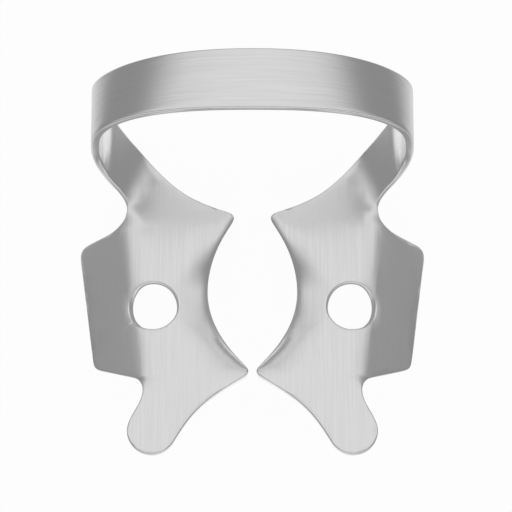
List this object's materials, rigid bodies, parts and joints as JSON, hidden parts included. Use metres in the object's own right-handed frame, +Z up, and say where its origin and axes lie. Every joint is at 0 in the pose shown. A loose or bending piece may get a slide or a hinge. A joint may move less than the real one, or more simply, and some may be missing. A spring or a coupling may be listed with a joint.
{
  "type": "rubber dam clamp",
  "caption": "Spring steel clamp with a bow that joins two winged jaws, which grip the neck of a tooth and hold a rubber dam sheet.",
  "frame": {"origin": "on the table, below the middle of the clamp's box", "axes": "+Z up, +Y towards the bow, +X towards one jaw; the clamp lies tipped back on its wings and its bow, as it rests on a table"},
  "size_m": [0.0246, 0.0284, 0.0125],
  "materials": {
    "brushed_steel": "satin brushed, polished cut edges"
  },
  "bodies": {
    "root": {"clamp": "brushed_steel"}
  },
  "joints": []
}
